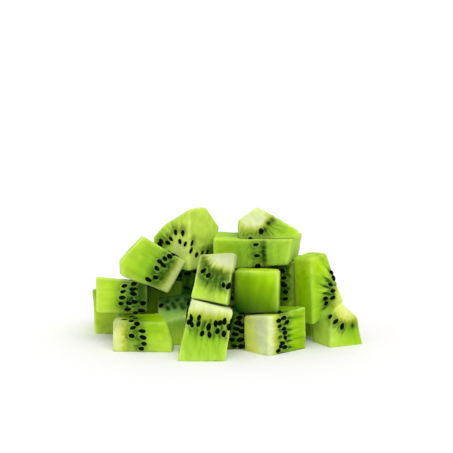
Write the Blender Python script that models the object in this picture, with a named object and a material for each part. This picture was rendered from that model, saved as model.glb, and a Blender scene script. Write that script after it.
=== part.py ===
# A loose heap of diced kiwi fruit, modelled at real size as one solid.
# Every die is cut the way a knife cuts it: six flat cuts through the peeled fruit, an
# ellipsoid, leave the piece.  Some cuts lean, and some pieces lack a corner.  The pieces are
# laid in a heap, joined, and the heap is cut flat where it rests.
# X runs to the right, Y away from the shown side, Z up.  Lengths are in millimetres.

import bmesh
import bpy
from math import cos, radians, sin, tan
from mathutils import Euler, Matrix, Vector

MM = 0.001
LENGTHWAYS = 1.3         # the fruit is longer than it is wide
FRUIT_SEGMENTS = 48      # round the peeled fruit
FRUIT_RINGS = 32
EDGE_ROUND = 0.3         # cut edges of ripe flesh are slightly worn
SINK = 1.0               # ground dice reach this far down before the heap is cut flat
BLOCK = 80.0             # a block of fruit that is larger than any die
FLAT_CUT = 200.0         # side of the block that cuts the heap flat
MERGE = 0.02             # points closer than this become one
FLAT_ANGLE = 0.2         # faces that differ by less than this many degrees become one
SHARP_ANGLE = 25.0       # cuts that meet at more than this many degrees make an edge
FLESH = (0.42, 0.62, 0.08, 1.0)
FLESH_ROUGHNESS = 0.35

# Inner heap, one ring of flesh above the other: height, half width, half depth, centre x, y.
MOUND_SIDES = 16
MOUND_RINGS = (
    (-SINK, 24.0, 11.0, -3.0, 7.0),
    (9.0, 22.0, 10.0, -3.0, 7.0),
    (16.0, 16.0, 8.0, -2.0, 8.0),
    (23.0, 8.0, 4.0, -2.0, 6.0),
)

# Each die: at = centre; size = across, deep, high; turn = tilt, roll and yaw in degrees;
# leans = how many degrees a cut leans; corners = a further cut, as azimuth, rise and distance
# from the centre.  A die with a rounded side has peel = radius of the peeled fruit, the die's
# edge that ran along the fruit, and the fruit's middle as seen from the die's centre.
DICE = {
    "front_left": dict(
        at=(-21, -11.5, 3.9), size=(15.2, 11, 7.9), turn=(0, 0, -4),
        peel=(17, "z", (-8.7, -4, -7))),
    "front_middle": dict(
        at=(-5.1, -20.1, 6.1), size=(11.3, 13.5, 14.2), turn=(-8, 9, 0),
        leans=dict(left=(0, 3.3), top=(0, 6))),
    "front_right": dict(
        at=(12.4, -13.9, 5), size=(13.3, 9.2, 10), turn=(0, 0, 43),
        leans=dict(top=(7, -4))),
    "far_right": dict(
        at=(28.3, -6.1, 5.6), size=(8.6, 8.9, 11.2), turn=(0, 0, 29),
        leans=dict(top=(10, -33), right=(0, 13)), corners=[(0, 47, 3.8)]),
    "left": dict(
        at=(-28.6, 10.8, 5.5), size=(13, 11, 11), turn=(0, 0, 0),
        leans=dict(left=(0, -3), top=(10, 0))),
    "left_upper": dict(
        at=(-27, -2, 12.15), size=(13.3, 12, 7.7), turn=(0, 0, 0),
        leans=dict(top=(12, 5))),
    "sloped": dict(
        at=(-12.4, -5, 5), size=(10.9, 7.5, 10.2), turn=(0, 0, 6),
        leans=dict(top=(-38, -14))),
    "behind_middle": dict(
        at=(-0.7, -8.7, 5.4), size=(10.5, 10.6, 10.8), turn=(0, 0, 0)),
    "leaning_left": dict(
        at=(-19.55, -2.6, 19.95), size=(14.2, 11, 10.6), turn=(-10, 31, 0),
        peel=(17.5, "z", (8.8, -5, -5.3)),
        leans=dict(left=(0, 12), bottom=(0, 10)), corners=[(180, -37, 8.2)]),
    "top_left": dict(
        at=(-10.8, 3.2, 26.7), size=(12.4, 11.8, 16), turn=(0, 0, -38),
        leans=dict(top=(12, 0), back=(0, -30)),
        corners=[(180, 48, 4.05), (180, 60, 4.15), (180, -63, 5.6), (90, 45, 6.3)]),
    "on_middle": dict(
        at=(-3, -15.1, 18.85), size=(9, 11, 12.3), turn=(-13, 11, -6),
        leans=dict(top=(0, -14), right=(0, 3))),
    "plain": dict(
        at=(7.9, -12.1, 15), size=(11.4, 8, 10.9), turn=(-6, 0, -5)),
    "plank": dict(
        at=(7.3, -2, 23.8), size=(21, 8, 7.8), turn=(4, 0, -4),
        leans=dict(right=(-18, -9), bottom=(0, 6))),
    "top_right": dict(
        at=(8.5, -2.5, 31.4), size=(11.1, 7, 8), turn=(0, 0, 0),
        leans=dict(top=(14, -36), right=(25, 61)), corners=[(0, 0, 10.2)]),
    "leaning_right": dict(
        at=(22.8, -4.3, 15.5), size=(8.7, 7, 15.8), turn=(0, -25, 40),
        leans=dict(left=(0, 22), top=(5, 14)), corners=[(98, 68, 8.5)]),
    "inner_right": dict(
        at=(16.5, 2.5, 14.8), size=(10, 10, 12), turn=(0, 0, 0)),
    "inner_left": dict(
        at=(-10.8, 3.5, 15.3), size=(11, 11, 12), turn=(0, 14, 0)),
    "inner_low": dict(
        at=(-17, 2.5, 9.5), size=(10, 10, 13), turn=(0, 5, 0)),
    "back_1": dict(
        at=(-22.5, 21, 5), size=(12, 11, 10), turn=(0, 0, 18),
        peel=(19, "z", (7, -12, -4))),
    "back_2": dict(
        at=(-9.5, 23.5, 5.5), size=(12, 12, 11), turn=(0, 0, -8)),
    "back_3": dict(
        at=(4, 23, 5), size=(12.5, 11, 10), turn=(0, 0, 12),
        leans=dict(right=(0, 8))),
    "back_4": dict(
        at=(17.5, 18.5, 5.5), size=(12, 12, 11), turn=(0, 0, -25),
        peel=(18, "y", (-9, 3, -9))),
    "back_5": dict(
        at=(23, 7.5, 4.2), size=(10, 10, 8.4), turn=(0, 0, -50)),
    "upper_1": dict(
        at=(-18, 13.5, 14.5), size=(11, 11, 9), turn=(-14, -8, 25),
        leans=dict(left=(0, 9))),
    "upper_2": dict(
        at=(-6, 15.5, 16), size=(12, 12, 10), turn=(-12, 5, -10),
        peel=(17, "x", (3, -9, -7))),
    "upper_3": dict(
        at=(7.5, 14, 16), size=(12.5, 11, 10), turn=(-10, -5, 15)),
    "upper_4": dict(
        at=(18.5, 12, 14), size=(10, 10, 8.5), turn=(-8, 10, -30),
        leans=dict(back=(0, 10))),
    "crown_1": dict(
        at=(-2, 6, 20), size=(11, 10, 8.5), turn=(-6, -4, 12)),
    "crown_2": dict(
        at=(9, 8, 22), size=(11, 10, 9), turn=(-10, 4, -15),
        peel=(16, "y", (-6, 2, -9))),
}

# Each cut's outward direction, and the two directions that its leans tip it towards.
CUTS = {
    "left": ((-1, 0, 0), (0, 1, 0), (0, 0, 1)),
    "right": ((1, 0, 0), (0, 1, 0), (0, 0, 1)),
    "front": ((0, -1, 0), (1, 0, 0), (0, 0, 1)),
    "back": ((0, 1, 0), (1, 0, 0), (0, 0, 1)),
    "bottom": ((0, 0, -1), (0, 1, 0), (1, 0, 0)),
    "top": ((0, 0, 1), (0, 1, 0), (1, 0, 0)),
}


def clear_scene():
    for thing in list(bpy.data.objects):
        bpy.data.objects.remove(thing, do_unlink=True)


def resting(die):
    """Dice of the lowest layer reach below the level where the heap is cut flat."""
    return die["at"][2] - die["size"][2] / 2 < SINK


def knife_planes(die):
    """The cuts of one die, as (point on the cut, outward direction) in the die's own frame."""
    half = Vector(die["size"]) / 2
    leans = die.get("leans", {})
    planes = []
    for face, (out, first, second) in CUTS.items():
        lean_a, lean_b = leans.get(face, (0, 0))
        out = Vector(out)
        point = Vector([o * h for o, h in zip(out, half)])
        if face == "bottom" and resting(die):
            point.z -= SINK
        direction = out + tan(radians(lean_a)) * Vector(first) + tan(radians(lean_b)) * Vector(second)
        planes.append((point, direction.normalized()))
    for azimuth, rise, distance in die.get("corners", []):
        level = cos(radians(rise))
        direction = Vector((level * cos(radians(azimuth)), level * sin(radians(azimuth)),
                            sin(radians(rise))))
        planes.append((distance * direction, direction))
    return planes


def uncut_piece(die):
    """What the cuts are made in: the whole peeled fruit, or a block from inside it."""
    body = bmesh.new()
    if "peel" not in die:
        bmesh.ops.create_cube(body, size=BLOCK)
        return body
    radius, axis, middle = die["peel"]
    lie = {"x": Euler((0, radians(90), 0)), "y": Euler((radians(90), 0, 0)), "z": Euler()}[axis]
    stretch = Matrix.Diagonal((radius, radius, radius * LENGTHWAYS, 1))
    bmesh.ops.create_uvsphere(
        body, u_segments=FRUIT_SEGMENTS, v_segments=FRUIT_RINGS, radius=1,
        matrix=Matrix.Translation(middle) @ lie.to_matrix().to_4x4() @ stretch)
    return body


def cut(body, point, direction):
    """Takes away what lies beyond the plane and closes the cut."""
    whole = body.verts[:] + body.edges[:] + body.faces[:]
    bmesh.ops.bisect_plane(body, geom=whole, plane_co=point, plane_no=direction, clear_outer=True)
    rim = [edge for edge in body.edges if edge.is_boundary]
    if rim:
        bmesh.ops.holes_fill(body, edges=rim, sides=0)


def make_die(die):
    body = uncut_piece(die)
    for point, direction in knife_planes(die):
        cut(body, point, direction)
    bmesh.ops.remove_doubles(body, verts=body.verts, dist=MERGE)
    bmesh.ops.dissolve_limit(body, angle_limit=radians(FLAT_ANGLE), verts=body.verts, edges=body.edges)
    sharp = [edge for edge in body.edges if edge.calc_face_angle(0) > radians(SHARP_ANGLE)]
    bmesh.ops.bevel(body, geom=sharp, offset=EDGE_ROUND, segments=1, affect="EDGES", clamp_overlap=True)
    tilt, roll, yaw = (radians(angle) for angle in die["turn"])
    turn = Matrix.Rotation(yaw, 4, "Z") @ Matrix.Rotation(roll, 4, "Y") @ Matrix.Rotation(tilt, 4, "X")
    body.transform(Matrix.Scale(MM, 4) @ Matrix.Translation(die["at"]) @ turn)
    return body


def make_mound():
    """The flesh inside the heap, which the outer dice lean on."""
    body = bmesh.new()
    rings = []
    for height, wide, deep, x, y in MOUND_RINGS:
        ring = []
        for side in range(MOUND_SIDES):
            angle = radians(360 * side / MOUND_SIDES)
            ring.append(body.verts.new((x + wide * cos(angle), y + deep * sin(angle), height)))
        rings.append(ring)
    for low, high in zip(rings, rings[1:]):
        for side in range(MOUND_SIDES):
            after = (side + 1) % MOUND_SIDES
            body.faces.new((low[side], low[after], high[after], high[side]))
    body.faces.new(reversed(rings[0]))
    body.faces.new(rings[-1])
    body.transform(Matrix.Scale(MM, 4))
    return body


def as_object(name, body, home):
    bmesh.ops.triangulate(body, faces=body.faces)
    bmesh.ops.recalc_face_normals(body, faces=body.faces)
    mesh = bpy.data.meshes.new(name)
    body.to_mesh(mesh)
    body.free()
    thing = bpy.data.objects.new(name, mesh)
    home.objects.link(thing)
    thing.hide_render = True
    thing.display_type = "WIRE"
    return thing


def apply_boolean(thing, operation, other=None, group=None):
    modifier = thing.modifiers.new("join", "BOOLEAN")
    modifier.solver = "EXACT"
    modifier.operation = operation
    if group:
        modifier.operand_type = "COLLECTION"
        modifier.collection = group
    else:
        modifier.object = other
    bpy.context.view_layer.objects.active = thing
    bpy.ops.object.modifier_apply(modifier=modifier.name)


def largest_shell(body):
    """Drops the walls of hollows that the joined dice enclose, so that the heap is solid."""
    left = set(body.verts)
    shells = []
    while left:
        start = left.pop()
        shell, front = {start}, [start]
        while front:
            for edge in front.pop().link_edges:
                for vert in edge.verts:
                    if vert in left:
                        left.remove(vert)
                        shell.add(vert)
                        front.append(vert)
        shells.append(shell)
    shells.sort(key=len)
    for shell in shells[:-1]:
        bmesh.ops.delete(body, geom=list(shell), context="VERTS")


def tidy(thing):
    body = bmesh.new()
    body.from_mesh(thing.data)
    bmesh.ops.remove_doubles(body, verts=body.verts, dist=MERGE * MM)
    bmesh.ops.dissolve_degenerate(body, edges=body.edges, dist=MERGE * MM)
    largest_shell(body)
    low = Vector([min(vert.co[axis] for vert in body.verts) for axis in range(3)])
    high = Vector([max(vert.co[axis] for vert in body.verts) for axis in range(3)])
    middle = (low + high) / 2
    body.transform(Matrix.Translation((-middle.x, -middle.y, -low.z)))
    bmesh.ops.triangulate(body, faces=body.faces)
    body.to_mesh(thing.data)
    body.free()


def flesh_material():
    material = bpy.data.materials.new("flesh")
    material.use_nodes = True
    shader = material.node_tree.nodes["Principled BSDF"]
    shader.inputs["Base Color"].default_value = FLESH
    shader.inputs["Roughness"].default_value = FLESH_ROUGHNESS
    shader.inputs["Metallic"].default_value = 0.0
    return material


def make_heap():
    scene = bpy.context.scene.collection
    loose = bpy.data.collections.new("loose_dice")
    scene.children.link(loose)
    for name, die in DICE.items():
        as_object("die_" + name, make_die(die), loose)
    heap = as_object("kiwi_heap", make_mound(), scene)
    apply_boolean(heap, "UNION", group=loose)
    block = bmesh.new()
    bmesh.ops.create_cube(block, size=FLAT_CUT * MM,
                          matrix=Matrix.Translation((0, 0, FLAT_CUT / 2 * MM)))
    above = as_object("above_rest", block, scene)
    apply_boolean(heap, "INTERSECT", other=above)
    for helper in list(loose.objects) + [above]:
        bpy.data.objects.remove(helper, do_unlink=True)
    tidy(heap)
    heap.hide_render = False
    heap.display_type = "TEXTURED"
    heap.data.materials.clear()
    heap.data.materials.append(flesh_material())


clear_scene()
make_heap()
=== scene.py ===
import math
import random

import bpy
import numpy as np
from mathutils import Euler, Matrix, Vector, noise


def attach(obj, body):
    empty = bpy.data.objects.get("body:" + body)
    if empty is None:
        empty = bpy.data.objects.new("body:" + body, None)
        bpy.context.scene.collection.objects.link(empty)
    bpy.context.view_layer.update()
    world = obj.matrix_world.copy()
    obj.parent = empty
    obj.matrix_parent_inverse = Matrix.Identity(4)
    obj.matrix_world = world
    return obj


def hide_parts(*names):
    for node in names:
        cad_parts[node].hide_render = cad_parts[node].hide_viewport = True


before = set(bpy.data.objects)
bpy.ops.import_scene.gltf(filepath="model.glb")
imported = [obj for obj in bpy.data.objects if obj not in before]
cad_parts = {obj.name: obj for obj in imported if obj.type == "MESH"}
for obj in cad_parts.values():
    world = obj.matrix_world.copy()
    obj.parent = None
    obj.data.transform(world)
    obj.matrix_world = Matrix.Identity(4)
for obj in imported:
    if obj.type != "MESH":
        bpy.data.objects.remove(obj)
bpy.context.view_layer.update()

mm = 0.001

# The whole fruit that every die is cut from.  Its pattern is drawn for a fruit of this radius
# in mm; a die's own fruit may be larger or smaller.
fruit = {
    "radius": 16.0,
    "long": 1.3,             # length over width
    "locules": 30,           # seed chambers round the core
    "barTurn": 4.0,          # radians of that pattern for each mm along a core's bar
    "seedRings": (6.6, 8.4),  # how far the seeds sit from the axis, mm
    "seedStep": 2.3,         # from one seed to the next along the fruit, mm
    "seedSize": (0.90, 0.61, 0.43),  # half length, width and thickness, mm
    "seedTaper": 0.22,       # how much narrower a seed's pointed end is
    "seedPoint": 1.05,       # and how much longer
    "seedFaces": (10, 6),    # round a seed and along it
    "peelFaces": (64, 48),
}

# How a cut die looks close up, mm.
cutFinish = {
    "block": 80.0,           # uncut flesh, larger than any die
    "edge": 0.35,            # worn edges
    "edgeSteps": 2,
    "sharp": 25.0,           # degrees between two cuts that make an edge
    "merge": 0.02,           # points closer than this become one
    "grain": 0.40,           # size of the mesh faces
    "ease": (0.5, 2),        # how strongly they are evened out, and how often
    "slump": 0.16,           # slow unevenness of a cut
    "slumpSize": 4.5,
    "tooth": 0.035,          # fine unevenness
    "toothSize": 0.9,
    "noiseStep": 20,         # keeps the noises of one die apart
    "locule": 0.07,          # the seed chambers sink this much
    "loculeBand": (0.5, 0.16),  # where they lie and how far they reach, by share of the radius
    "loculeSway": (1.2, 3.0),  # how far their walls wander, in radians, and the noise's size
    "seedDent": 0.05,
    "seedDentReach": 0.5,
    "gapMost": 5.0,          # seeds further away than this don't matter
    "gapDeep": 1.0,          # nor those much further than this below the cut
    "blur": 0.85,            # reach of a seed that shows through the flesh
    "sink": 1.0,             # ground dice reach this far down before they are cut flat
}

# How the seeds lie, mm and degrees.
seedLay = {
    "firstDraw": 100,        # random numbers of the first die
    "near": 0.62,            # a seed of the fruit this close to a cut shows in it
    "namedGap": (0.1, 0.8),  # room to the cut's end and to the next seed, in a named row
    "strewnGap": (0.45, 1.3),  # the same for the other seeds
    "arcStray": (1.5, 0.15),  # round the arc and across it
    "lineStray": 0.12,
    "ringTurn": 0.22,        # share of a chamber that each ring of seeds is off its middle
    "strewnStray": (0.8, 0.05, 0.5),  # outwards, round the core in radians, and along it
    "twist": 18,
    "sizes": (0.86, 1.14),   # smallest and largest, as shares of the seed size
    "depth": (0.12, 0.22),   # a seed's middle lies this far under the cut
}


# A row of seeds on a cut: an arc round the core, a straight line, or a single seed.
def arc(radius, start, stop, count):
    return ("arc", radius, start, stop, count)


def line(start, stop, count):
    return ("line", start, stop, count)


def spot(u, v):
    return ("line", (u, v), (u, v), 1)


# Each die, mm and degrees.  Its shape: at = centre, size = across, deep and high, turn = tilt,
# roll and yaw, leans = how far a cut leans, corners = a further cut's azimuth, rise and distance
# from the centre, peel = radius, long direction and middle of the peeled fruit where a side is
# rounded, worn = width of its edges.
# Its fruit: axis = the edge that ran along it, core = from the die's centre to the fruit's axis,
# ripe = radius, skew = how far it lay askew, bar = half length of a core drawn out to a bar.
# Its looks: tint = paler, or darker below 0; part of it is each die's own tone, the rest is painted light
# on lit sides and painted shade on shaded sides and on dice deep in the heap, cool = bluish, partly a
# painted sheen, or below 0 a vivid yellow green that is a painted glow of light through flesh in shade,
# warm = how yellow the core is, dusk = how dark the seed zone is, bold = how strong the rays show, crisp =
# how strong the painted pale light along the edges is.  Each is a number, or a number and its change per
# mm.
# Its seeds: rows = the seeds of a cut, where they are known, sunk = how much deeper they lie,
# blurs = dark spots of seeds just under the cut, soft = how far such a spot reaches.
usual = {"bold": 1.0, "crisp": 1.0}
dice = {
    "frontLeft": dict(
        kind="peel", at=(-21, -11.5, 3.9), size=(15.2, 11, 7.9), turn=(0, 0, -4),
        peel=(17, "z", (-8.7, -4, -7)), axis="z", core=(-8.7, -4), ripe=15,
        tint=(0.26, 0.03, 0, -0.12), warm=0.3, dusk=0.25, bold=0.5, crisp=0.5,
        rows=dict(front=[line((-2.5, 2.3), (-2.9, 0.4), 2), line((0, 1.45), (0.4, -1.7), 3),
                         spot(-1.3, 3.3), spot(-0.3, -3), spot(-2.5, -3.5), spot(1.2, -3.7)],
                  top=[spot(-5, -2.9), spot(-2.1, -1.4), spot(-3, -4.6), spot(-3.6, 1.2)])),
    "frontMiddle": dict(
        kind="core", at=(-5.1, -20.1, 6.1), size=(11.3, 13.5, 14.2), turn=(-8, 9, 0),
        leans=dict(left=(0, 3.3), top=(0, 6)), axis="y", core=(0.8, 8.8), ripe=15.5, bar=(6, 0),
        tint=(0.1, 0, 0, -0.02), cool=(0, 0, 0, -0.07), bold=(0.75, 0, 0, 0.1), crisp=0.6,
        rows=dict(front=[arc(6.3, -121, -121, 1), arc(6.2, -81, -59, 3), arc(7.6, -133, -114, 2),
                         arc(7.2, -93, -93, 1), arc(8.2, -78, -78, 1), arc(7.8, -54, -54, 1),
                         arc(8.7, -130, -123, 2), arc(9.1, -101, -89, 2), arc(9.1, -66, -66, 1)])),
    "frontRight": dict(
        kind="core", at=(12.4, -13.9, 5), size=(13.3, 9.2, 10), turn=(0, 0, 43),
        leans=dict(top=(7, -4)), axis="y", core=(-8.3, 0.5), ripe=15, bar=(0, 3.6),
        tint=(-0.08, -0.025, 0, 0), bold=1.5, crisp=(0.35, 0.1, 0, 0),
        warm=(-5.55, -0.9, 0.24, -0.07),
        rows=dict(front=[line((-1.4, 4.2), (-0.3, 2.8), 2), line((-3, 3.5), (-2.7, 2.2), 2),
                         line((-1.1, 1.4), (-0.8, -1.2), 3), line((-1.7, -2.2), (-2.6, -3.1), 2),
                         spot(-1, -3.5), spot(-3.3, -4.1)],
                  top=[line((0, -1.4), (-1.1, -3), 2)], left=[])),
    "farRight": dict(
        kind="core", at=(28.3, -6.1, 5.6), size=(8.6, 8.9, 11.2), turn=(0, 0, 29),
        leans=dict(top=(10, -33), right=(0, 13)), corners=[(0, 47, 3.8)],
        axis="y", core=(1.5, 4.9), ripe=12.4, skew=(0, -30), tint=(0.22, -0.1, 0, -0.045), bold=0.2,
        crisp=0.4, warm=0.5, blurs=dict(front=[arc(5.4, -79, -79, 1)]),
        rows=dict(front=[arc(5.6, -139, -114, 2)],
                  left=[spot(-3.9, 2.4)], right=[], top=[], corner0=[])),
    "left": dict(
        kind="flesh", at=(-28.6, 10.8, 5.5), size=(13, 11, 11), turn=(0, 0, 0),
        leans=dict(left=(0, -3), top=(10, 0)), axis="z", core=(16, 6), ripe=24,
        tint=(0.8, 0.12, 0, -0.08), bold=0.5),
    "leftUpper": dict(
        kind="seed", at=(-27, -2, 12.15), size=(13.3, 12, 7.7), turn=(0, 0, 0),
        leans=dict(top=(12, 5)), axis="z", core=(15.5, -5), ripe=25,
        tint=(0.1, -0.11, 0, 0), cool=(-0.15, 0.04, 0, 0), bold=0.3, dusk=(0.95, 0.08, 0, 0),
        rows=dict(front=[line((0.7, 3.3), (-0.3, -1.3), 4), line((3.05, 3.75), (2.9, 1.3), 3),
                         line((1.85, -1.35), (1.6, -2.8), 2), spot(3.4, -1),
                         line((5.4, -1.2), (5.1, -3.3), 2)])),
    "sloped": dict(
        kind="seed", at=(-12.4, -5, 5), size=(10.9, 7.5, 10.2), turn=(0, 0, 6),
        leans=dict(top=(-38, -14)), axis="z", core=(2, 8), ripe=17,
        tint=(0.6, 0, 0, -0.23), cool=(0.3, 0, 0, 0.3), bold=0.2, soft=0.72,
        blurs=dict(top=[spot(-2.7, 1.8), line((-3.2, -0.7), (-2.9, -1.6), 2),
                        line((-1.5, 0.4), (-1.2, -1.3), 3), spot(-0.1, 1.8),
                        line((0.6, -0.3), (0.8, -2), 3), spot(2.3, 1.4),
                        line((2.6, -1.6), (2.7, -2.6), 2)]),
        rows=dict(top=[spot(-4.6, 0.5), spot(2.6, -0.4)],
                  front=[])),
    "behindMiddle": dict(
        kind="seed", at=(-0.7, -8.7, 5.4), size=(10.5, 10.6, 10.8), turn=(0, 0, 0),
        axis="z", core=(-2, 1.5), ripe=18, tint=-0.6,
        rows=dict(front=[line((4.4, 4.3), (2.9, -1.3), 5), line((4.65, 1), (4.65, -0.6), 2),
                         line((2.1, -2.9), (4.2, -2.8), 2), line((2.6, -4.6), (4.4, -4.5), 2)])),
    "leaningLeft": dict(
        kind="peel", at=(-19.55, -2.6, 19.95), size=(14.2, 11, 10.6), turn=(-10, 31, 0),
        peel=(17.5, "z", (8.8, -5, -5.3)), leans=dict(left=(0, 12), bottom=(0, 10)),
        corners=[(180, -37, 8.2)], axis="z", core=(8.8, -5), ripe=13, tint=(-0.1, -0.015, 0, 0),
        cool=0.25, warm=0.3, dusk=0.5, bold=(0.38, 0.05, 0, 0), crisp=0.8,
        rows=dict(front=[line((2.6, 4.3), (1.2, 1.9), 3), spot(3.3, 4),
                         line((2.4, 1.4), (2.3, -2.1), 2), line((1.4, -0.1), (0.9, -3.7), 2)])),
    "topLeft": dict(
        kind="core", at=(-10.8, 3.2, 26.7), size=(12.4, 11.8, 16), turn=(0, 0, -38),
        leans=dict(top=(12, 0), back=(0, -30)),
        corners=[(180, 48, 4.05), (180, 60, 4.15), (180, -63, 5.6), (90, 45, 6.3)],
        axis="y", core=(3.1, -4.2), ripe=13.5, skew=(-35, 0), tint=(1.05, 0.05, 0, -0.02),
        cool=-0.2, bold=(0.4, -0.05, 0, 0), crisp=0.7,
        rows=dict(front=[arc(7.1, 155, 161, 2), arc(5, 126, 146, 2), arc(6, 82, 104, 2),
                         arc(3.7, 62, 91, 2)],
                  right=[line((-4.9, -0.8), (-5, -2.5), 2), line((-2.8, -4.1), (1.6, -3.7), 3)],
                  corner0=[], corner1=[], corner2=[], corner3=[])),
    "onMiddle": dict(
        kind="core", at=(-3, -15.1, 18.85), size=(9, 11, 12.3), turn=(-13, 11, -6),
        leans=dict(top=(0, -14), right=(0, 3)), axis="y", core=(4.5, 6.9), ripe=16.8, bar=(3.4, 0),
        tint=(0.3, 0, 0, -0.1), bold=0.12, dusk=0.88,
        rows=dict(front=[spot(-2.9, 1.2), spot(-1.35, 0.3), spot(3, -1.4), spot(4.2, -1.3)],
                  right=[spot(-4.6, -1.2)])),
    "plain": dict(
        kind="flesh", at=(7.9, -12.1, 15), size=(11.4, 8, 10.9), turn=(-6, 0, -5),
        worn=0.8, axis="y", core=(-1, -20), ripe=26, tint=(-0.46, 0.065, 0, 0.08), bold=0.4,
        dusk=0.3, rows=dict(front=[], left=[], right=[])),
    "plank": dict(
        kind="flesh", at=(7.3, -2, 23.8), size=(21, 8, 7.8), turn=(4, 0, -4),
        leans=dict(right=(-18, -9), bottom=(0, 6)), axis="z", core=(1.9, 3), ripe=14,
        tint=(0.35, 0.015, 0, 0), bold=0.15, crisp=0.4, sunk=0.1,
        blurs=dict(front=[line((2.5, 3), (2.7, -3), 6)]),
        rows=dict(front=[line((0.5, 2.3), (1, -3.3), 3)], top=[], bottom=[])),
    "topRight": dict(
        kind="core", at=(8.5, -2.5, 31.4), size=(11.1, 7, 8), turn=(0, 0, 0),
        leans=dict(top=(14, -36), right=(25, 61)), corners=[(0, 0, 10.2)],
        axis="y", core=(-1.8, 1.6), bar=(1, 0), ripe=11,
        tint=0.25, bold=0.35, dusk=(-0.15, 0, 0, -0.16),
        blurs=dict(front=[line((2.4, 0), (3.3, 0.9), 2), spot(1.3, -1.6)]),
        rows=dict(front=[spot(0.42, -2)], top=[], right=[], left=[], corner0=[])),
    "leaningRight": dict(
        kind="core", at=(22.8, -4.3, 15.5), size=(8.7, 7, 15.8), turn=(0, -25, 40),
        leans=dict(left=(0, 22), top=(5, 14)), corners=[(98, 68, 8.5)],
        axis="y", core=(7, -7.4), ripe=16, tint=(0.18, 0.04, 0, -0.03), bold=(1.7, 0.32, 0, -0.06),
        crisp=0.35, warm=0.3,
        rows=dict(front=[arc(7.8, 113, 128, 3), arc(9.4, 110, 110, 1), arc(6.2, 138, 175, 3),
                         arc(8.5, 154, 163, 2)],
                  left=[], top=[], corner0=[])),
    "innerRight": dict(
        kind="seed", at=(16.5, 2.5, 14.8), size=(10, 10, 12), turn=(0, 0, 0),
        axis="z", core=(6, -3), ripe=15, tint=(0, 0.34, 0, 0),
        rows=dict(front=[line((-1.4, 1.7), (-1.1, -3.8), 4), spot(-2.1, 0.3), spot(-1.9, 3.4)])),
    "innerLeft": dict(
        kind="seed", at=(-10.8, 3.5, 15.3), size=(11, 11, 12), turn=(0, 14, 0),
        axis="z", core=(1, 4), ripe=19, tint=-0.9),
    "innerLow": dict(
        kind="flesh", at=(-17, 2.5, 9.5), size=(10, 10, 13), turn=(0, 5, 0),
        axis="z", core=(13, 6), ripe=20, tint=-0.75),
    "back1": dict(
        kind="peel", at=(-22.5, 21, 5), size=(12, 11, 10), turn=(0, 0, 18),
        peel=(19, "z", (7, -12, -4)), axis="z", core=(7, -12), ripe=18, tint=0.1),
    "back2": dict(
        kind="core", at=(-9.5, 23.5, 5.5), size=(12, 12, 11), turn=(0, 0, -8),
        axis="y", core=(4, 5), ripe=16, tint=0.0),
    "back3": dict(
        kind="seed", at=(4, 23, 5), size=(12.5, 11, 10), turn=(0, 0, 12),
        leans=dict(right=(0, 8)), axis="x", core=(-1, 8), ripe=17, tint=0.1),
    "back4": dict(
        kind="peel", at=(17.5, 18.5, 5.5), size=(12, 12, 11), turn=(0, 0, -25),
        peel=(18, "y", (-9, 3, -9)), axis="y", core=(-9, -9), ripe=17, tint=-0.1),
    "back5": dict(
        kind="flesh", at=(23, 7.5, 4.2), size=(10, 10, 8.4), turn=(0, 0, -50),
        axis="y", core=(-4, 9), ripe=17, tint=0.1),
    "upper1": dict(
        kind="seed", at=(-18, 13.5, 14.5), size=(11, 11, 9), turn=(-14, -8, 25),
        leans=dict(left=(0, 9)), axis="y", core=(-5, 6), ripe=16, tint=0.0),
    "upper2": dict(
        kind="peel", at=(-6, 15.5, 16), size=(12, 12, 10), turn=(-12, 5, -10),
        peel=(17, "x", (3, -9, -7)), axis="x", core=(-9, -7), ripe=16, tint=0.2),
    "upper3": dict(
        kind="core", at=(7.5, 14, 16), size=(12.5, 11, 10), turn=(-10, -5, 15),
        axis="y", core=(-5, -3), ripe=15, tint=-0.1),
    "upper4": dict(
        kind="flesh", at=(18.5, 12, 14), size=(10, 10, 8.5), turn=(-8, 10, -30),
        leans=dict(back=(0, 10)), axis="z", core=(9, 8), ripe=17, tint=0.1),
    "crown1": dict(
        kind="seed", at=(-2, 6, 20), size=(11, 10, 8.5), turn=(-6, -4, 12),
        axis="x", core=(6, 5), ripe=16, tint=(-0.45, 0, 0.08, 0)),
    "crown2": dict(
        kind="peel", at=(9, 8, 22), size=(11, 10, 9), turn=(-10, 4, -15),
        peel=(16, "y", (-6, 2, -9)), axis="y", core=(-6, -9), ripe=15, tint=0.1),
}

# Each cut's outward direction, and the two directions that its leans tip it towards.
cuts = {
    "left": ((-1, 0, 0), (0, 1, 0), (0, 0, 1)),
    "right": ((1, 0, 0), (0, 1, 0), (0, 0, 1)),
    "front": ((0, -1, 0), (1, 0, 0), (0, 0, 1)),
    "back": ((0, 1, 0), (1, 0, 0), (0, 0, 1)),
    "bottom": ((0, 0, -1), (0, 1, 0), (1, 0, 0)),
    "top": ((0, 0, 1), (0, 1, 0), (1, 0, 0)),
}

heap = {
    "middle": (-0.11, 1.18),  # the heap's box is centred on the origin
}


def deselect():
    if bpy.context.mode != "OBJECT":
        bpy.ops.object.mode_set(mode="OBJECT")
    bpy.ops.object.select_all(action="DESELECT")


def activate(thing):
    deselect()
    thing.select_set(True)
    bpy.context.view_layer.objects.active = thing


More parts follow.
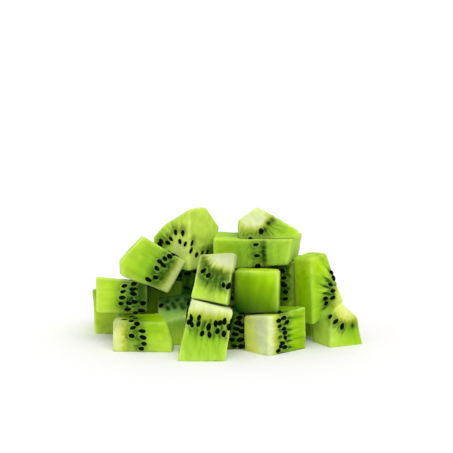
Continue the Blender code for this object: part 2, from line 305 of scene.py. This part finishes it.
def knifePlanes(die):
    half = Vector(die["size"]) / 2
    leans = die.get("leans", {})
    planes = {}
    for face, (out, first, second) in cuts.items():
        leanA, leanB = (math.tan(math.radians(lean)) for lean in leans.get(face, (0, 0)))
        point = Vector([o * h for o, h in zip(out, half)])
        if face == "bottom" and restsLow(die):
            point.z -= cutFinish["sink"]
        leaning = Vector(out) + leanA * Vector(first) + leanB * Vector(second)
        planes[face] = (point, leaning.normalized())
    for count, (azimuth, rise, distance) in enumerate(die.get("corners", [])):
        flat, up = math.radians(azimuth), math.radians(rise)
        out = Vector((math.cos(up) * math.cos(flat), math.cos(up) * math.sin(flat), math.sin(up)))
        planes["corner%d" % count] = (distance * out, out)
    return planes


def restsLow(die):
    return die["at"][2] - die["size"][2] / 2 < cutFinish["sink"]


def dieTurn(die):
    tilt, roll, yaw = (math.radians(angle) for angle in die["turn"])
    return Matrix.Rotation(yaw, 4, "Z") @ Matrix.Rotation(roll, 4, "Y") @ Matrix.Rotation(tilt, 4, "X")


def diePlace(die):
    x, y, z = die["at"]
    return Matrix.Translation((x - heap["middle"][0], y - heap["middle"][1], z)) @ dieTurn(die)


def fruitFrame(die):
    # 3x3 matrix and offset that take a point of the die, in mm, into the fruit's pattern
    along = "xyz".index(die["axis"])
    first, second = [side for side in range(3) if side != along]
    order = np.zeros((3, 3))
    order[0, first] = order[1, second] = order[2, along] = 1
    pivot = np.zeros(3)
    pivot[first], pivot[second] = die["core"]
    if along == 1:
        pivot[1] = -die["size"][1] / 2
    a, b = die.get("skew", (0, 0))
    askew = Matrix.Rotation(math.radians(b), 3, "Y") @ Matrix.Rotation(math.radians(a), 3, "X")
    turn = np.array(askew) @ order * (fruit["radius"] / die["ripe"])
    return turn, -turn @ pivot


def patternOf(die, points):
    # fruit coordinates measured from the core's bar, and how far along the bar they lie
    turn, offset = fruitFrame(die)
    pattern = points @ turn.T + offset
    bar = np.array((*die.get("bar", (0, 0)), 0)) * fruit["radius"] / die["ripe"]
    along = np.clip(pattern, -bar, bar)
    return pattern - along, along.sum(axis=1)


def onPlane(point, plane):
    at, out = plane
    return point - out * (point - at).dot(out)


def insideCuts(point, planes, skip, margin):
    return all((point - at).dot(out) < -margin for face, (at, out) in planes.items() if face != skip)


def stray(draw, far):
    return draw.uniform(-far, far)


def rowPoints(die, face, rows, draw):
    # seeds that the rows name, as points of the die in mm, before they are laid on the cut
    half = Vector(die["size"]) / 2
    lay = {"front": lambda u, v: (u, -half.y, v), "right": lambda u, v: (half.x, u, v),
           "left": lambda u, v: (-half.x, u, v), "top": lambda u, v: (u, v, half.z)}
    sway, across = seedLay["arcStray"]
    found = []
    for shape, *sizes, count in rows:
        for step in range(count):
            share = step / max(count - 1, 1)
            if shape == "arc":
                radius, start, stop = sizes
                angle = math.radians(start + (stop - start) * share + stray(draw, sway))
                far = radius + stray(draw, across)
                u = die["core"][0] + far * math.cos(angle)
                v = die["core"][1] + far * math.sin(angle)
            else:
                start, stop = sizes
                u, v = (first + (last - first) * share + stray(draw, seedLay["lineStray"])
                        for first, last in zip(start, stop))
            found.append(Vector(lay[face](u, v)))
    return found


def latticePoints(die, draw):
    # the seeds of the whole fruit, as far along it as the die reaches
    turn, offset = fruitFrame(die)
    back = np.linalg.inv(turn)
    reach = max(die["size"]) * fruit["radius"] / die["ripe"]
    step = fruit["seedStep"]
    first = math.ceil((offset[2] - reach) / step)
    last = math.floor((offset[2] + reach) / step)
    outwards, sideways, along = seedLay["strewnStray"]
    found = []
    for locule in range(fruit["locules"]):
        for ring, radius in enumerate(fruit["seedRings"]):
            angle = 2 * math.pi * (locule + seedLay["ringTurn"] * (2 * ring - 1)) / fruit["locules"]
            start = draw.uniform(0, step)
            for place in range(first, last + 1):
                far = radius + stray(draw, outwards)
                bend = angle + stray(draw, sideways)
                height = place * step + start + stray(draw, along)
                p = back @ (np.array([far * math.cos(bend), far * math.sin(bend), height]) - offset)
                found.append(Vector(p))
    return found


def seedsOfDie(die, draw):
    # (centre on the cut, cut direction, long direction) for each seed that shows
    planes = knifePlanes(die)
    back = np.linalg.inv(fruitFrame(die)[0])
    named = die.get("rows", {})
    lattice = latticePoints(die, draw)
    chosen = []
    for face, plane in planes.items():
        if face == "bottom" and restsLow(die):
            continue
        if face in named:
            near = rowPoints(die, face, named[face], draw)
            margin, apart = seedLay["namedGap"]
        else:
            near = [p for p in lattice if abs((p - plane[0]).dot(plane[1])) < seedLay["near"]]
            margin, apart = seedLay["strewnGap"]
        for point in near:
            at = onPlane(point, plane)
            if not insideCuts(at, planes, face, margin) or (diePlace(die) @ at).z < fruit["seedSize"][1]:
                continue
            if any((at - other[0]).length < apart for other in chosen):
                continue
            pattern = patternOf(die, np.array([at]))[0][0]
            radial = Vector(back @ np.array([pattern[0], pattern[1], 0.0]))
            radial -= plane[1] * radial.dot(plane[1])
            if radial.length < 1e-6:
                radial = plane[1].orthogonal()
            chosen.append((at, plane[1], radial.normalized()))
    return chosen


def seedMatrix(seed, draw, sunk):
    at, out, radial = seed
    twist = Matrix.Rotation(math.radians(stray(draw, seedLay["twist"])), 3, out)
    first = (twist @ radial).normalized()
    second = out.cross(first).normalized()
    turn = Matrix((first, second, out)).transposed().to_4x4()
    size = [half * draw.uniform(*seedLay["sizes"]) for half in fruit["seedSize"]]
    return Matrix.Translation(at - out * (sunk + draw.uniform(*seedLay["depth"]))) @ turn, size


def startPiece(name, die):
    if "peel" in die:
        radius, axis, middle = die["peel"]
        around, along = fruit["peelFaces"]
        turn = {"x": (0, math.radians(90), 0), "y": (math.radians(90), 0, 0), "z": (0, 0, 0)}[axis]
        bpy.ops.mesh.primitive_uv_sphere_add(
            segments=around, ring_count=along, radius=radius, location=middle, rotation=turn,
            scale=(1, 1, fruit["long"]))
    else:
        bpy.ops.mesh.primitive_cube_add(size=cutFinish["block"])
    piece = bpy.context.active_object
    piece.name = name
    bpy.ops.object.transform_apply(location=True, rotation=True, scale=True)
    return piece


def cutPiece(piece, planes, worn):
    activate(piece)
    bpy.ops.object.mode_set(mode="EDIT")
    bpy.ops.mesh.select_mode(type="EDGE")
    for at, out in planes.values():
        bpy.ops.mesh.select_all(action="SELECT")
        bpy.ops.mesh.bisect(plane_co=at, plane_no=out, use_fill=True, clear_outer=True)
    bpy.ops.mesh.select_all(action="SELECT")
    bpy.ops.mesh.remove_doubles(threshold=cutFinish["merge"])
    bpy.ops.mesh.select_all(action="DESELECT")
    bpy.ops.mesh.edges_select_sharp(sharpness=math.radians(cutFinish["sharp"]))
    bpy.ops.mesh.bevel(offset=worn, segments=cutFinish["edgeSteps"], affect="EDGES")
    bpy.ops.object.mode_set(mode="OBJECT")


def meshPoints(mesh, what="co"):
    values = np.empty(len(mesh.vertices) * 3)
    mesh.vertices.foreach_get(what, values)
    return values.reshape(-1, 3)


def evenFaces(piece, size):
    grain = piece.modifiers.new("grain", "REMESH")
    grain.mode = "VOXEL"
    grain.voxel_size = size
    activate(piece)
    bpy.ops.object.modifier_apply(modifier=grain.name)


def grainPiece(piece):
    # even faces all over, fine enough for the relief
    evenFaces(piece, cutFinish["grain"])
    ease = piece.modifiers.new("ease", "SMOOTH")
    ease.factor, ease.iterations = cutFinish["ease"]
    bpy.ops.object.modifier_apply(modifier=ease.name)


def slowNoise(points, size, count):
    # each count has its own part of the noise
    shift = Vector((count * 13.1, count * 7.7, count * 3.3))
    return np.array([noise.noise(Vector(p) / size + shift) for p in points])


def seedDistance(points, seeds):
    # mm from the outline of the nearest seed
    nearest = np.full(len(points), cutFinish["gapMost"])
    for matrix, size in seeds:
        inverse = np.array(matrix.inverted())
        local = points @ inverse[:3, :3].T + inverse[:3, 3]
        scaled = local[:, :2] / np.array(size[:2])
        length = np.sqrt((scaled ** 2).sum(1))
        deep = np.maximum(np.abs(local[:, 2]) - cutFinish["gapDeep"], 0)
        nearest = np.minimum(nearest, (length - 1) * size[1] + deep * 2)
    return nearest


def blurStain(points, die, planes, draw):
    # 1 over a seed that lies just under the cut, fading to 0 around it
    stain = np.zeros(len(points))
    for face, rows in die.get("blurs", {}).items():
        for point in rowPoints(die, face, rows, draw):
            at = np.array(onPlane(point, planes[face]))
            reach = ((points - at) ** 2).sum(axis=1) ** 0.5
            stain = np.maximum(stain, np.exp(-(reach / die.get("soft", cutFinish["blur"])) ** 2))
    return stain


def changing(die, name, points):
    # a look's strength at each point: a number, or a number and its change per mm
    value = die.get(name, usual.get(name, 0.0))
    if isinstance(value, tuple):
        return value[0] + points @ np.array(value[1:])
    return np.full(len(points), value)


def saveLayer(mesh, name, values, kind="FLOAT", key="value"):
    layer = mesh.attributes.new(name, kind, "POINT")
    layer.data.foreach_set(key, np.ascontiguousarray(values, dtype=np.float32).ravel())


def reliefPiece(piece, die, planes, seeds, count):
    mesh = piece.data
    points = meshPoints(mesh)
    normals = meshPoints(mesh, "normal")
    pattern, run = patternOf(die, points)
    radius = np.hypot(pattern[:, 0], pattern[:, 1])
    angle = np.arctan2(pattern[:, 1], pattern[:, 0])
    distances = np.stack([-(points - np.array(at)) @ np.array(out) for at, out in planes.values()])
    if "peel" in die:
        peelRadius, axis, middle = die["peel"]
        stretch = np.array([fruit["long"] if side == axis else 1.0 for side in "xyz"])
        reach = np.sqrt((((points - np.array(middle)) / stretch) ** 2).sum(1))
        distances = np.vstack([distances, peelRadius - reach])
    rim = np.sort(distances, axis=0)[1]
    seedGap = seedDistance(points, seeds)
    middle, reach = cutFinish["loculeBand"]
    zone = np.exp(-((radius / fruit["radius"] - middle) / reach) ** 2)
    sway, swaySize = cutFinish["loculeSway"]
    step = cutFinish["noiseStep"]
    chamber = np.cos(fruit["locules"] * angle + fruit["barTurn"] * run
                     + sway * slowNoise(points, swaySize, count + 2 * step))
    height = cutFinish["slump"] * slowNoise(points, cutFinish["slumpSize"], count)
    height += cutFinish["tooth"] * slowNoise(points, cutFinish["toothSize"], count + step)
    height -= cutFinish["locule"] * zone * (0.5 + 0.5 * chamber)
    height -= cutFinish["seedDent"] * np.exp(-(seedGap / cutFinish["seedDentReach"]) ** 2)
    points = points + normals * height[:, None]
    mesh.vertices.foreach_set("co", points.ravel())
    saveLayer(mesh, "pattern", pattern, "FLOAT_VECTOR", "vector")
    saveLayer(mesh, "run", run)
    saveLayer(mesh, "rim", rim)
    saveLayer(mesh, "seedGap", seedGap)
    saveLayer(mesh, "stain", blurStain(points, die, planes, random.Random(count)))
    # the looks of each point; these carry painted light and shade as well as tone
    for name in ("tint", "cool", "warm", "dusk", "bold", "crisp"):
        saveLayer(mesh, name, changing(die, name, points))
    mesh.update()


def placePiece(piece, die):
    # to metres and into the heap, then flat where it rests
    piece.matrix_world = Matrix.Scale(mm, 4) @ diePlace(die)
    activate(piece)
    bpy.ops.object.transform_apply(location=True, rotation=True, scale=True)
    if restsLow(die):
        bpy.ops.object.mode_set(mode="EDIT")
        bpy.ops.mesh.select_all(action="SELECT")
        bpy.ops.mesh.bisect(plane_co=(0, 0, 0), plane_no=(0, 0, -1), use_fill=True, clear_outer=True)
        bpy.ops.object.mode_set(mode="OBJECT")
    bpy.ops.object.shade_smooth()


def makeDie(name, die, count):
    draw = random.Random(seedLay["firstDraw"] + count)
    planes = knifePlanes(die)
    seeds = [seedMatrix(seed, draw, die.get("sunk", 0.0)) for seed in seedsOfDie(die, draw)]
    piece = startPiece(name, die)
    cutPiece(piece, planes, die.get("worn", cutFinish["edge"]))
    grainPiece(piece)
    reliefPiece(piece, die, planes, seeds, count)
    placePiece(piece, die)
    place = Matrix.Scale(mm, 4) @ diePlace(die)
    return piece, [place @ matrix @ Matrix.Diagonal((*size, 1)) for matrix, size in seeds]


def joinPieces(pieces, name):
    deselect()
    for piece in pieces:
        piece.select_set(True)
    bpy.context.view_layer.objects.active = pieces[0]
    bpy.ops.object.join()
    whole = bpy.context.active_object
    whole.name = name
    whole.data.name = name
    return whole


def seedMaster():
    # an egg with its narrow end towards the core
    around, along = fruit["seedFaces"]
    bpy.ops.mesh.primitive_uv_sphere_add(segments=around, ring_count=along, radius=1)
    seed = bpy.context.active_object
    bpy.ops.object.mode_set(mode="EDIT")
    bpy.ops.mesh.select_all(action="SELECT")
    bpy.ops.transform.rotate(value=math.radians(90), orient_axis="Y", center_override=(0, 0, 0))
    bpy.ops.object.mode_set(mode="OBJECT")
    for vert in seed.data.vertices:
        taper = 1 - fruit["seedTaper"] * max(0.0, -vert.co.x)
        vert.co.y *= taper
        vert.co.z *= taper
        vert.co.x *= fruit["seedPoint"] if vert.co.x < 0 else 1.0
    bpy.ops.object.shade_smooth()
    return seed


def makeSeeds(places):
    master = seedMaster()
    pieces = []
    for matrix in places:
        seed = master.copy()
        seed.data = master.data.copy()
        bpy.context.scene.collection.objects.link(seed)
        seed.data.transform(matrix)
        pieces.append(seed)
    bpy.data.objects.remove(master, do_unlink=True)
    return joinPieces(pieces, "kiwiSeeds")


class Wire:
    # an output socket; arithmetic on it adds Math nodes to its tree
    def __init__(self, tree, socket):
        self.tree = tree
        self.socket = socket

    def maths(self, operation, *others):
        node = self.tree.nodes.new("ShaderNodeMath")
        node.operation = operation
        for slot, value in zip(node.inputs, others):
            if isinstance(value, Wire):
                self.tree.links.new(value.socket, slot)
            else:
                slot.default_value = value
        return Wire(self.tree, node.outputs[0])

    def __add__(self, other):
        return self.maths("ADD", self, other)

    def __radd__(self, other):
        return self.maths("ADD", other, self)

    def __sub__(self, other):
        return self.maths("SUBTRACT", self, other)

    def __rsub__(self, other):
        return self.maths("SUBTRACT", other, self)

    def __mul__(self, other):
        return self.maths("MULTIPLY", self, other)

    def __rmul__(self, other):
        return self.maths("MULTIPLY", other, self)

    def __truediv__(self, other):
        return self.maths("DIVIDE", self, other)

    def __pow__(self, other):
        return self.maths("POWER", self, other)


class Look:
    # one material; put() adds any other node
    def __init__(self, name):
        self.material = bpy.data.materials.new(name)
        self.material.use_nodes = True
        self.tree = self.material.node_tree
        self.shader = self.tree.nodes["Principled BSDF"]

    def put(self, kind, settings=None, sockets=None, output=0):
        node = self.tree.nodes.new("ShaderNode" + kind)
        for key, value in (settings or {}).items():
            if key == "stops":
                ramp = node.color_ramp
                while len(ramp.elements) < len(value):
                    ramp.elements.new(0.5)
                for element, (place, colour) in zip(ramp.elements, value):
                    element.position = place
                    element.color = colour
            else:
                setattr(node, key, value)
        for key, value in (sockets or {}).items():
            self.feed(node.inputs[key], value)
        return Wire(self.tree, node.outputs[output])

    def feed(self, slot, value):
        if isinstance(value, Wire):
            self.tree.links.new(value.socket, slot)
        else:
            slot.default_value = value

    def finish(self, **sockets):
        for key, value in sockets.items():
            self.feed(self.shader.inputs[key.replace("_", " ")], value)
        return self.material

    def mix(self, share, first, second, blend="MIX"):
        return self.put("Mix", {"data_type": "RGBA", "blend_type": blend, "clamp_factor": True},
                        {0: share, 6: first, 7: second}, 2)

    def smooth(self, value, low, high):
        return self.put("MapRange", {"interpolation_type": "SMOOTHSTEP"},
                        {"Value": value, "From Min": low, "From Max": high})

    def attribute(self, name, output=2):
        return self.put("Attribute", {"attribute_name": name}, None, output)

    def objectPlace(self):
        return self.put("TexCoord", None, None, 3)

    def vector(self, x, y, z):
        return self.put("CombineXYZ", None, {0: x, 1: y, 2: z})

    def noise(self, where, scale, detail=2.0, w=None):
        settings = {"noise_dimensions": "3D" if w is None else "4D"}
        sockets = {"Vector": where, "Scale": scale, "Detail": detail}
        if w is not None:
            sockets["W"] = w
        return self.put("TexNoise", settings, sockets)


def tone(red, green, blue):
    # a screen colour, 0 to 255, as the linear colour that a material holds
    out = []
    for value in (red, green, blue):
        share = value / 255
        out.append(share / 12.92 if share <= 0.04045 else ((share + 0.055) / 1.055) ** 2.4)
    return (*out, 1.0)


fleshLook = {
    # colours from the core outwards, by share of the fruit's radius
    "rings": [
        (0.00, tone(228, 235, 196)),
        (0.18, tone(228, 235, 186)),
        (0.23, tone(208, 219, 128)),
        (0.29, tone(178, 195, 58)),
        (0.36, tone(146, 175, 22)),
        (0.48, tone(120, 174, 4)),
        (0.64, tone(138, 190, 0)),
        (0.80, tone(158, 206, 0)),
        (0.92, tone(168, 213, 4)),
        (1.00, tone(182, 220, 30)),
    ],
    # what lies over them: its colour, and how strongly it covers
    "yellow": (tone(234, 238, 112), 1.0),
    # paler where the die's tone is above 0: partly the die's own tone, partly painted light on lit sides
    "paleAndLit": (tone(222, 244, 112), 0.6),
    # bluish: partly a paler, bluer tone of the flesh, partly a painted bluish sheen of highlights
    "bluishToneAndSheen": (tone(150, 200, 110), 0.6),
    # painted light: a bright yellow green laid on shaded flesh, for light shining through it
    "vividGlow": (tone(220, 255, 16), -0.6),
    "chamber": (tone(12, 70, 0), 0.9),
    "septum": (tone(178, 214, 78), 0.6),
    "streakLight": (tone(188, 228, 44), 0.40),
    "streakDark": (tone(74, 148, 0), 0.38),
    "gel": (tone(14, 58, 2), 0.55),
    "stain": (tone(10, 52, 8), 1.15),
    "vein": (tone(158, 200, 82), 0.18),
    "halo": (tone(158, 200, 82), 0.5),
    # edge and rim: painted light, paler colour laid along the cuts' edges for light shining through the
    # thin flesh there
    "edge": (tone(206, 236, 92), 0.22),
    "rim": (tone(216, 238, 140), 1.0),
    # painted shade: dark green laid where the die's tone is below 0, on dice deep in the heap and on
    # shaded sides
    "deep": (tone(10, 64, 0), -0.9),
    "shade": (tone(10, 64, 0), 0.12),
    "gloss": {"IOR": 1.38, "Specular_IOR_Level": 0.08, "Subsurface_Weight": 0.4,
              "Subsurface_Radius": (0.9, 1.0, 0.3), "Subsurface_Scale": 0.0016},
    "rough": (0.32, 0.22, 0.12),  # at least, by noise, and more in the core
    "bump": {"Strength": 0.15, "Distance": 0.0003},
}

# How the pattern runs.
fleshPattern = {
    "cloud": (0.30, 2.0),    # scale and detail of a noise, as in the next two
    "fine": (1.1, 3.0),
    "sway": (0.35, 1.0),
    "swayTurn": 4.0,         # how far the chambers' walls sway, in their own radians
    "spokes": {"around": 9.0, "bar": 1.2, "along": 0.7, "outwards": 0.13, "detail": 3.0},
    "threads": {"around": 13.0, "bar": 1.3, "along": 0.8, "outwards": 0.12, "detail": 1.5},
    "blot": (1.6, 2.2, 0.6),  # mm that the cloud, threads and fine noise shift the rings
    # bands, each from where a look is 0 to where it is full
    "zone": ((0.31, 0.40), (0.50, 0.78)),  # the seed zone, by share of the radius, in and out
    "gloom": ((0.23, 0.32), (0.50, 0.68)),  # its dark ground
    "flesh": (0.30, 0.42),   # the green round the core
    "core": (0.28, 0.34),
    "coreRough": (0.34, 0.22),
    "rays": {"wave": 0.45, "fade": 0.7, "from": 0.4, "band": (0.60, 0.86)},
    "septum": (0.50, 0.72),
    "streaks": {"band": (0.30, 0.46), "bold": 0.75, "least": 0.15, "gloom": 0.75},
    "streakLight": (0.50, 0.66),
    "streakDark": (0.48, 0.32),
    "gel": (1.2, 0.25),      # mm from a seed
    "halo": (0.42, 0.12),
    "haloPatch": (0.35, 0.6),
    "vein": {"bend": (5.0, 3.0), "scale": 0.62, "band": (0.07, 0.02), "least": 0.25},
    # the edge and rim bands place the painted light along the edges
    "edge": (2.4, 0.2),      # mm from the edge
    "rim": (0.80, 0.1),
    "rimPatch": (1.3, 0.15),
    "shade": (0.62, 0.34),
}


def rayNoise(look, x, y, z, far, run, size):
    # noise drawn out along the rays
    where = look.vector(x / far * size["around"] + run * size["bar"],
                        y / far * size["around"], z * size["along"])
    return look.noise(where, 1.0, size["detail"], w=far * size["outwards"])


def zoneOf(look, share, bands):
    # full between two bands
    rise, fall = bands
    return look.smooth(share, *rise) * (1 - look.smooth(share, *fall))


def fleshMaterial():
    look = Look("kiwiFlesh")
    lay = fleshPattern
    x = look.put("SeparateXYZ", None, {0: look.attribute("pattern", 1)})
    y, z = (Wire(look.tree, x.socket.node.outputs[side]) for side in (1, 2))
    run, rim, seedGap, stain = (look.attribute(name) for name in ("run", "rim", "seedGap", "stain"))
    tint, cool, warm = (look.attribute(name) for name in ("tint", "cool", "warm"))
    dusk, bold, crisp = (look.attribute(name) for name in ("dusk", "bold", "crisp"))
    far = (x * x + y * y) ** 0.5
    place = look.vector(x + run, y + run, z)
    cloud, fine, sway = (look.noise(place, *lay[name]) for name in ("cloud", "fine", "sway"))
    angle = look.put("Math", {"operation": "ARCTAN2"}, {0: y, 1: x})
    turns = angle * fruit["locules"] + run * fruit["barTurn"] + (sway - 0.5) * lay["swayTurn"]
    wave = look.put("Math", {"operation": "SINE"}, {0: turns}) * 0.5 + 0.5
    spokes, threads = (rayNoise(look, x, y, z, far, run, lay[name]) for name in ("spokes", "threads"))
    byCloud, byThreads, byFine = lay["blot"]
    blot = (cloud - 0.5) * byCloud + (threads - 0.5) * byThreads + (fine - 0.5) * byFine
    share = (far + blot) / fruit["radius"]

    zone = zoneOf(look, share, lay["zone"])
    gloom = zoneOf(look, share, lay["gloom"])
    rays = lay["rays"]
    spread = wave * rays["wave"] + spokes - (share - rays["from"]) * rays["fade"]
    chamber = zone * look.smooth(spread, *rays["band"]) * bold + gloom * dusk
    septum = zone * look.smooth(1 - wave * 0.5 - spokes * 0.5, *lay["septum"]) * bold
    streaks = lay["streaks"]
    outer = look.smooth(share, *streaks["band"]) * (bold * streaks["bold"] + streaks["least"])
    outer = outer * (1 - gloom * dusk * streaks["gloom"])
    vein = lay["vein"]
    slow, quick = vein["bend"]
    bent = look.vector(x + run + cloud * slow, y + run + fine * quick, z + fine * quick - cloud * slow)
    web = look.put("TexVoronoi", {"feature": "DISTANCE_TO_EDGE"}, {"Vector": bent, "Scale": vein["scale"]})
    patch, bare = lay["rimPatch"]
    layers = (
        ("yellow", warm * (1 - look.smooth(share, *lay["core"]))),
        # paler by the die's tone: partly its own tone, partly painted light
        ("paleAndLit", tint),
        # bluish: part the flesh's tone, part a painted sheen; the vivid green below it is a painted glow
        # of light through shaded flesh
        ("bluishToneAndSheen", cool),
        ("vividGlow", cool * look.smooth(share, *lay["flesh"])),
        ("chamber", chamber),
        ("septum", septum),
        ("streakLight", look.smooth(threads, *lay["streakLight"]) * outer),
        ("streakDark", look.smooth(threads, *lay["streakDark"]) * outer),
        ("gel", look.smooth(seedGap, *lay["gel"]) * zone),
        ("stain", stain),
        ("vein", look.smooth(web, *vein["band"]) * zone * (vein["least"] + dusk)),
        ("halo", look.smooth(seedGap, *lay["halo"]) * look.smooth(fine, *lay["haloPatch"])),
        # edge and rim: painted light along the edges
        ("edge", look.smooth(rim, *lay["edge"])),
        ("rim", look.smooth(rim, *lay["rim"]) * (cloud * patch - bare) * crisp),
        # painted shade where the die's tone is below 0
        ("deep", tint),
        ("shade", look.smooth(cloud, *lay["shade"])),
    )
    colour = look.put("ValToRGB", {"stops": fleshLook["rings"]}, {0: share})
    for name, cover in layers:
        shown, strength = fleshLook[name]
        colour = look.mix(cover * strength, colour, shown)
    height = threads * 0.5 + fine * 0.5 + wave * zone * 0.5
    least, byNoise, inCore = fleshLook["rough"]
    rough = least + fine * byNoise + look.smooth(share, *lay["coreRough"]) * inCore
    bump = look.put("Bump", None, {**fleshLook["bump"], "Height": height})
    return look.finish(Base_Color=colour, Roughness=rough, Normal=bump, **fleshLook["gloss"])


seedLook = {
    "dark": tone(2, 13, 0),
    "brown": tone(14, 26, 2),
    "speck": (900.0, 3.0),   # scale and detail of the brown specks
    "band": (0.45, 0.75),
    "rough": (0.28, 0.15),   # at least, and more on the specks
    "bump": {"Strength": 0.2, "Distance": 0.0001},
    "specular": 0.03,
}


def seedMaterial():
    look = Look("kiwiSeed")
    speck = look.noise(look.objectPlace(), *seedLook["speck"])
    colour = look.mix(look.smooth(speck, *seedLook["band"]), seedLook["dark"], seedLook["brown"])
    least, more = seedLook["rough"]
    bump = look.put("Bump", None, {**seedLook["bump"], "Height": speck})
    return look.finish(Base_Color=colour, Roughness=least + speck * more, Normal=bump,
                       Specular_IOR_Level=seedLook["specular"])


# One visible piece for each kind of die.
kinds = {"core": "kiwiCoreDice", "seed": "kiwiSeedDice", "flesh": "kiwiPlainDice",
         "peel": "kiwiRoundDice"}


def makeHeap():
    groups = {kind: [] for kind in kinds}
    places = []
    for count, (name, die) in enumerate(dice.items()):
        piece, seeds = makeDie(name, die, count)
        groups[die["kind"]].append(piece)
        places += seeds
    print("dice cut:", len(dice), "seeds:", len(places))
    flesh = fleshMaterial()
    whole = []
    for kind, pieces in groups.items():
        joined = joinPieces(pieces, kinds[kind])
        joined.data.materials.clear()
        joined.data.materials.append(flesh)
        whole.append(joined)
    seeds = makeSeeds(places)
    seeds.data.materials.clear()
    seeds.data.materials.append(seedMaterial())
    print("dice joined by kind:", [len(piece.data.polygons) for piece in whole])
    return whole, seeds


# The mound inside the heap, mm.
inside = {
    "rings": ((0.0, 22.0, 9.5), (9.0, 20.0, 8.5), (15.0, 14.0, 6.5), (21.0, 6.0, 3.0)),
    "middle": (-3.0, 6.5),   # each ring is a height, then half its width and depth
    "sides": 32,
    "grain": 0.9,
    "lump": (0.7, 3.5, 3),   # height, size and place of the uneven surface
    "shrink": 0.6,
    # painted shade: both greens are far darker than the flesh, standing for the shade inside the heap
    "dark": tone(36, 70, 12),
    "light": tone(70, 112, 20),
    "patch": (260.0, 3.0),   # scale and detail
    "band": (0.35, 0.65),
    "rough": (0.4, 0.2),
}


def makeInside():
    # flesh behind the outer dice, so that no gap shows through the heap; its greens are painted shade,
    # much darker than the flesh, for the shade inside the heap
    x, y = (m - h for m, h in zip(inside["middle"], heap["middle"]))
    base, wide, deep = inside["rings"][0]
    bpy.ops.mesh.primitive_circle_add(vertices=inside["sides"], radius=mm, fill_type="NGON",
                                      location=(x * mm, y * mm, base * mm), scale=(wide, deep, 1))
    piece = bpy.context.active_object
    piece.name = "kiwiHeapInside"
    bpy.ops.object.transform_apply(location=True, rotation=True, scale=True)
    bpy.ops.object.mode_set(mode="EDIT")
    for before, after in zip(inside["rings"], inside["rings"][1:]):
        lift = (0, 0, (after[0] - before[0]) * mm)
        bpy.ops.mesh.extrude_region_move(TRANSFORM_OT_translate={"value": lift})
        bpy.ops.transform.resize(value=(after[1] / before[1], after[2] / before[2], 1),
                                 center_override=(x * mm, y * mm, after[0] * mm))
    bpy.ops.mesh.select_all(action="SELECT")
    bpy.ops.mesh.normals_make_consistent(inside=False)
    bpy.ops.object.mode_set(mode="OBJECT")
    evenFaces(piece, inside["grain"] * mm)
    points = meshPoints(piece.data)
    height, size, count = inside["lump"]
    lift = height * mm * slowNoise(points, size * mm, count) - inside["shrink"] * mm
    points = points + meshPoints(piece.data, "normal") * lift[:, None]
    points[:, 2] = np.maximum(points[:, 2], 0)
    piece.data.vertices.foreach_set("co", points.ravel())
    bpy.ops.object.shade_smooth()
    look = Look("kiwiInsideShade")
    patch = look.noise(look.objectPlace(), *inside["patch"])
    colour = look.mix(look.smooth(patch, *inside["band"]), inside["dark"], inside["light"])
    least, more = inside["rough"]
    piece.data.materials.append(look.finish(Base_Color=colour, Roughness=least + patch * more))
    return piece


view = {
    "rise": 9.5,             # degrees that the camera looks down
    "distance": 0.6,         # metres from the heap
    "pixel": 0.00026,        # metres of the heap to one pixel of a frame 453 wide
    "frame": 453,
    "aim": 0.0296,           # metres above the floor that it looks at
    "sensor": 36.0,          # mm
    "clip": (0.01, 20.0),
}


def makeCamera():
    rise = math.radians(view["rise"])
    data = bpy.data.cameras.new("camera")
    data.sensor_width = view["sensor"]
    data.lens = view["sensor"] * view["distance"] / (view["pixel"] * view["frame"])
    data.clip_start, data.clip_end = view["clip"]
    camera = bpy.data.objects.new("camera", data)
    bpy.context.scene.collection.objects.link(camera)
    x, y = (-value * mm for value in heap["middle"])
    back, up = view["distance"] * math.cos(rise), view["distance"] * math.sin(rise)
    camera.location = (x, y - back, view["aim"] + up)
    camera.rotation_euler = Euler((math.radians(90) - rise, 0, 0))
    bpy.context.scene.camera = camera


studio = {
    "sky": 0.83,
    "sun": 1.06,             # watts per square metre
    "sunAt": (0.14, -0.72, 1.0),
    "sunWide": 45.0,         # degrees across, for soft shadows
    "floor": 6.0,            # metres
    "floorTones": (tone(251, 249, 251), tone(245, 243, 246)),
    "floorGrain": (400.0, 2.0),  # scale and detail
    "floorMottle": 0.2,
    "floorRough": 0.7,
    "floorSpecular": 0.2,
}


def makeStudio():
    world = bpy.data.worlds.new("studio")
    world.use_nodes = True
    sky = world.node_tree.nodes["Background"]
    sky.inputs["Color"].default_value = (1, 1, 1, 1)
    sky.inputs["Strength"].default_value = studio["sky"]
    bpy.context.scene.world = world
    bpy.ops.object.light_add(type="SUN", location=studio["sunAt"])
    sun = bpy.context.active_object
    sun.name = "softSun"
    sun.data.energy = studio["sun"]
    sun.data.angle = math.radians(studio["sunWide"])
    sun.rotation_euler = Vector(studio["sunAt"]).to_track_quat("Z", "Y").to_euler()
    bpy.ops.mesh.primitive_plane_add(size=studio["floor"], location=(0, 0, 0))
    floor = bpy.context.active_object
    floor.name = "floor"
    look = Look("floor")
    grain = look.noise(look.objectPlace(), *studio["floorGrain"])
    colour = look.mix(grain * studio["floorMottle"], *studio["floorTones"])
    floor.data.materials.append(look.finish(Base_Color=colour, Roughness=studio["floorRough"],
                                            Specular_IOR_Level=studio["floorSpecular"]))
    bpy.context.scene.view_settings.view_transform = "Standard"


pieces, seeds = makeHeap()
insidePiece = makeInside()
for piece in pieces + [seeds, insidePiece]:
    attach(piece, "root")
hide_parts("kiwi_heap")
print("pieces ride:", len(pieces) + 2)
makeStudio()
makeCamera()
deselect()
